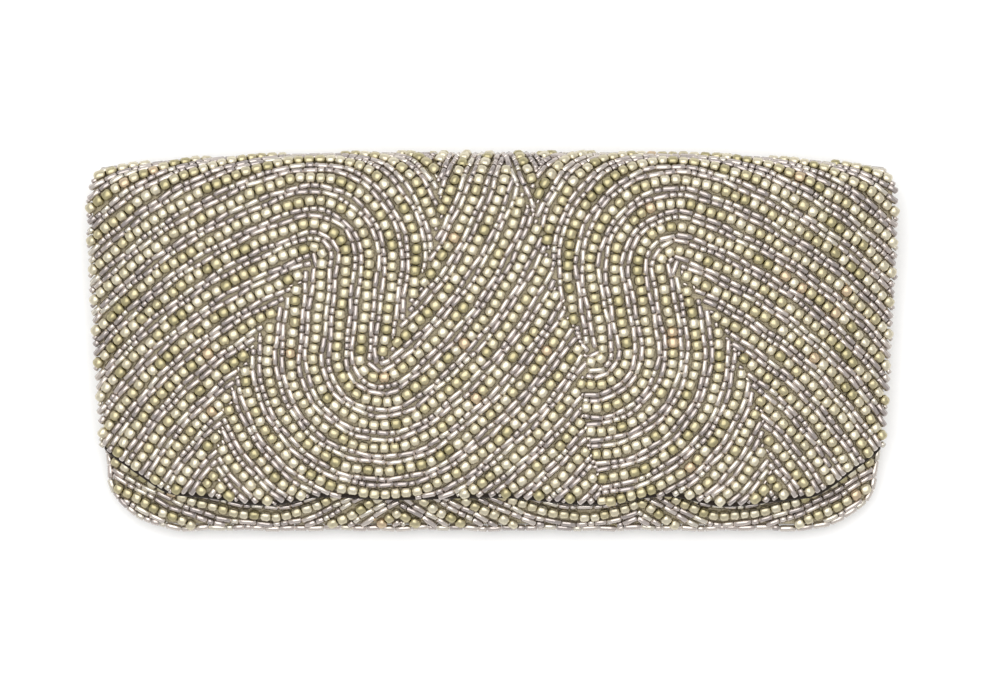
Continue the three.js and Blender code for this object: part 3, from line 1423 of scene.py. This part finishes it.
@dataclass
class ClothSheet:
    """A panel's cloth with a rounded hem all round."""

    name: str
    node: str
    painted_shadow_rows: int = 0  # rows of the grid at the free edge that get the painted edge shadow
    hem: float = 0.35

    def build(self, face: Array, outward: Array, thickness: float) -> Object:
        """Makes the cloth from a grid of its inner face.

        Args:
            face: Points by place across and place along.
            outward: Directions out of the face.
            thickness: Thickness of the cloth.

        Returns:
            The piece.
        """
        wide, long = face.shape[:2]
        outer = face + outward * thickness
        loop = [(i, 0) for i in range(wide - 1)] + [(wide - 1, j) for j in range(long - 1)]
        loop += [(i, long - 1) for i in range(wide - 1, 0, -1)] + [(0, j) for j in range(long - 1, 0, -1)]
        i, j = np.array(loop).T
        beside = face[np.clip(i, 1, wide - 2), np.clip(j, 1, long - 2)]
        rim = (face[i, j] + outer[i, j]) / 2 + unit(face[i, j] - beside) * self.hem
        points = np.concatenate([face.reshape(-1, 3), outer.reshape(-1, 3), rim])
        base, total = np.arange(wide * long).reshape(wide, long), wide * long
        quads = np.stack([base[:-1, :-1], base[1:, :-1], base[1:, 1:], base[:-1, 1:]], -1).reshape(-1, 4)
        under, above = base[i, j], base[i, j] + total
        middle = np.arange(len(loop)) + 2 * total
        hems = [
            np.stack([low, np.roll(low, -1), np.roll(high, -1), high], 1)
            for low, high in ((under, middle), (middle, above))
        ]
        faces = np.concatenate([quads + total, quads[:, ::-1], *hems])
        mesh = bpy.data.meshes.new(self.name)
        mesh.from_pydata((points * MM).tolist(), [], faces.tolist())
        for polygon in mesh.polygons:
            polygon.use_smooth = True
        # painted shadow: marks the first rows from the flap's free edge for the near-black edge shadow
        painted_shadow = np.zeros((wide, long), np.float32)
        painted_shadow[:, : self.painted_shadow_rows] = 1
        painted_shadow = np.concatenate([painted_shadow.ravel(), painted_shadow.ravel(), painted_shadow[i, j]])
        mesh.attributes.new("hem", "FLOAT", "POINT").data.foreach_set("value", painted_shadow)
        far = np.cumsum(norm(np.diff(face, axis=1, prepend=face[:, :1]), axis=2), 1)
        flat = np.stack([face[..., 0], far], -1).reshape(-1, 2)
        flat = (np.concatenate([flat, flat, flat[under]]) * MM)[corners_of(mesh)]
        mesh.uv_layers.new(name="Weave").data.foreach_set("uv", flat.astype(np.float32).ravel())
        return link(mesh)

    def declare(self, piece: Object, face: Array, held: str, rests_on: list[str]) -> None:
        """Args:
            piece: The cloth; not used.
            face: Points of its inner face.
            held: How it is held; not used.
            rests_on: What it lies on; not used.
        """
        middle = face.shape[0] // 2
        length = norm(np.diff(face[middle], axis=0), axis=1).sum() * MM
        diagonals = np.cross(face[1:, 1:] - face[:-1, :-1], face[1:, :-1] - face[:-1, 1:])
        area = norm(diagonals, axis=-1).sum() / 2 * MM**2


@dataclass
class Clutch:
    """The whole clutch: two cloths and the beads strung on three faces."""

    form: ClutchForm = field(default_factory=ClutchForm)
    swirls: SwirlPattern = field(default_factory=SwirlPattern)
    waves: WavePattern = field(default_factory=WavePattern)
    columns: int = 96
    crowding: float = 0.55  # how much closer the columns stand near the sides
    flap_rows: int = 44
    roll_rows: int = 36
    back_rows: int = 40
    pocket_rows: int = 48
    edge_power: float = 1.2  # rows stand closer near the flap's edge
    seam_power: float = 1.5  # and near the bottom seam
    # rows of the flap's free edge that get the painted edge shadow
    painted_shadow_rows: int = 2
    first_seed: int = 11
    seed_step: int = 10

    def places(self) -> Array:
        """Places across the panels from -1 to 1, closer together near the sides."""
        even = np.linspace(-1, 1, self.columns + 1)
        return even + (np.sin(math.pi / 2 * even) - even) * self.crowding

    def back_flap_face(self) -> Array:
        """Draws the inner face from the flap's free edge over the roll to the bottom seam.

        Returns:
            Points by place across and place along.
        """
        form = self.form
        across = self.places()
        edge = form.flap_edge(across * form.side_seam(form.edge_y))
        bottom = form.bottom_seam(across * form.side_seam(-form.top))
        ends = np.full_like(across, form.fold_y)
        front, back = form.flap_points(across, ends), form.back_points(across, ends)
        lines = [
            form.flap_points(across, edge + (form.fold_y - edge) * share**self.edge_power)
            for share in np.linspace(0, 1, self.flap_rows + 1)
        ]
        lines += [
            form.rolled(across, front, back, np.full_like(across, turn))
            for turn in np.linspace(0, math.pi, self.roll_rows + 1)[1:-1]
        ]
        lines += [
            form.back_points(across, bottom + (form.fold_y - bottom) * share**self.seam_power)
            for share in np.linspace(1, 0, self.back_rows + 1)
        ]
        return np.stack(lines, 1)

    def pocket_face(self) -> Array:
        """Draws the inner face from the bottom seam to the mouth.

        Returns:
            Points by place across and place along.
        """
        form = self.form
        across = self.places()
        bottom = form.bottom_seam(across * form.side_seam(-form.top))
        lines = []
        for share in np.linspace(0, 1, self.pocket_rows + 1):
            y = bottom + (form.mouth_y - bottom) * share**self.seam_power
            x = across * form.side_seam(y)
            lines.append(np.stack([x, y, form.pocket_height(x, y)], -1))
        return np.stack(lines, 1)

    def build_cloths(self, finish: Material) -> list[Object]:
        """Makes the two cloths.

        Args:
            finish: Material of the cloth.

        Returns:
            The pieces.
        """
        back_flap, pocket = self.back_flap_face(), self.pocket_face()
        across = np.gradient(back_flap, axis=0)
        outward = unit(np.cross(across, np.gradient(back_flap, axis=1)))
        leaning = self.form.leaning(pocket[..., 0], pocket[..., 1])
        folded = ClothSheet("back_flap_silk", "back_flap_cloth", self.painted_shadow_rows)
        made = []
        for sheet, face, way, held, rests_on in (
            (folded, back_flap, outward, "folded", ["pocket_silk"]),
            (ClothSheet("pocket_silk", "front_pocket_cloth"), pocket, leaning, "stretched", []),
        ):
            piece = sheet.build(face, way, self.form.cloth)
            piece.data.materials.append(finish)
            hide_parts(sheet.node)
            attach(piece, BODY)
            sheet.declare(piece, face, held, rests_on)
            made.append(piece)
        return made

    def strings(self) -> dict[Kind, Stringing]:
        """Sizes the two kinds of beads and says how they are strung.

        Returns:
            How each kind is strung.
        """
        square = ((1, 0.5), (0.5, 1), (-0.5, 1), (-1, 0.5), (-1, -0.5), (-0.5, -1), (0.5, -1), (1, -0.5))
        hexagon = tuple((math.sin(math.pi / 3 * i), math.cos(math.pi / 3 * i)) for i in range(6))
        pressed = BeadShape(
            length=3.1,
            diameter=3.05,
            height=2.6,
            ends=((0.0, 0.42), (0.26, 0.78), (0.72, 1.0)),
            section=square,
            cut_ends=False,
        )
        drawn = BeadShape(
            length=2.7,
            diameter=2.05,
            height=2.05,
            ends=((0.0, 0.66), (0.22, 1.0)),
            section=hexagon,
            cut_ends=True,
        )
        pressed_lengths = ((1.0, (2.8, 3.3)),)
        drawn_lengths = ((0.35, (1.7, 2.6)), (0.65, (3.2, 5.2)))
        gold = Stringing(
            Kind.GOLD, pressed, pressed_lengths, tilt=0.1, thinnest=0.91, likeness=0.1, rolled=0.18
        )
        silver = Stringing(
            Kind.SILVER, drawn, drawn_lengths, tilt=0.05, thinnest=0.92, likeness=0.1, rolled=0.0
        )
        return {Kind.GOLD: gold, Kind.SILVER: silver}

    def string_beads(self, finishes: dict[Kind, Material]) -> list[Object]:
        """Strings every row of beads.

        Args:
            finishes: Material of each kind of bead.

        Returns:
            The pieces.
        """
        strings = self.strings()
        half_widths = {kind: strings[kind].half_width for kind in Kind}
        faces = (
            ("flap", FlapPanel(self.form), self.swirls, "back_flap_beadwork"),
            ("back", BackPanel(self.form), self.swirls, "back_flap_beadwork"),
            ("pocket", PocketPanel(self.form), self.waves, "front_pocket_beadwork"),
        )
        made = []
        for number, (face, panel, pattern, node) in enumerate(faces):
            seed = self.first_seed + self.seed_step * number
            runs = {kind: panel.cut(pattern.rows(kind, half_widths[kind])) for kind in Kind}
            if isinstance(panel, PocketPanel):
                runs[Kind.SILVER].append(panel.seam_row())
            loose = GapFilling().find(panel, runs, half_widths)
            for kind in Kind:
                name = f"{face}_{kind.value}"
                beside = [ends for ends, _ in loose[kind]]
                widths = [1.0] * len(runs[kind]) + [width for _, width in loose[kind]]
                laid = strings[kind].lay(panel, runs[kind] + beside, widths, seed)
                piece = strings[kind].build(name, laid, finishes[kind], seed)
                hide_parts(node)
                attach(piece, BODY)
                made.append(piece)
        return made


@dataclass
class Studio:
    """Floor, soft light and a camera straight above the flap, in metres but for the aim."""

    floor_half: float = 1.5
    camera_height: float = 1.015
    lens: float = 120.5
    sensor: float = 36.0
    aim: tuple[float, float] = (2.24, -3.06)
    key_size: float = 1.6
    key_place: tuple[float, float, float] = (-0.1, 0.28, 1.25)
    key_turn: tuple[float, float, float] = (-0.24, -0.06, 0.0)
    key_power: float = 15.6
    world_shade: str = "f4f4f6"
    world_light: float = 0.89

    def build(self) -> None:
        """Makes the floor, the lights and the camera."""
        self.lay_floor()
        self.hang_lights()
        self.set_camera()
        bpy.context.scene.view_settings.view_transform = "Standard"

    def lay_floor(self) -> None:
        """Lays a wide sheet of paper under the clutch."""
        half = self.floor_half
        mesh = bpy.data.meshes.new("paper_floor")
        corners = [(-half, -half, 0), (half, -half, 0), (half, half, 0), (-half, half, 0)]
        mesh.from_pydata(corners, [], [(0, 1, 2, 3)])
        mesh.materials.append(PaperSweep().material())
        link(mesh)

    def hang_lights(self) -> None:
        """Hangs a soft box overhead and sets the room's even light."""
        lamp = bpy.data.lights.new("soft_box", "AREA")
        lamp.size = self.key_size
        lamp.energy = self.key_power
        hung = link(lamp)
        hung.location = self.key_place
        hung.rotation_euler = self.key_turn
        world = bpy.data.worlds.new("studio")
        world.use_nodes = True
        light = world.node_tree.nodes["Background"].inputs
        light["Color"].default_value = linear(self.world_shade)
        light["Strength"].default_value = self.world_light
        bpy.context.scene.world = world

    def set_camera(self) -> None:
        """Sets the camera straight above, with the rolled top up."""
        camera = bpy.data.cameras.new("camera")
        camera.lens = self.lens
        camera.sensor_width = self.sensor
        stand = link(camera)
        stand.location = (self.aim[0] * MM, self.aim[1] * MM, self.camera_height)
        bpy.context.scene.camera = stand


def main() -> None:
    """Builds the clutch and the studio, and reports each piece."""
    logging.basicConfig(level=logging.INFO, format="%(name)s: %(message)s")
    Studio().build()
    clutch = Clutch()
    finishes = {Kind.GOLD: GoldLinedGlass().material(), Kind.SILVER: SilverLinedGlass().material()}
    pieces = clutch.build_cloths(WovenSilk().material()) + clutch.string_beads(finishes)
    for piece in pieces:
        piece.data.calc_loop_triangles()
        LOG.info("%s: %d triangles", piece.name, len(piece.data.loop_triangles))


if __name__ == "__main__":
    main()
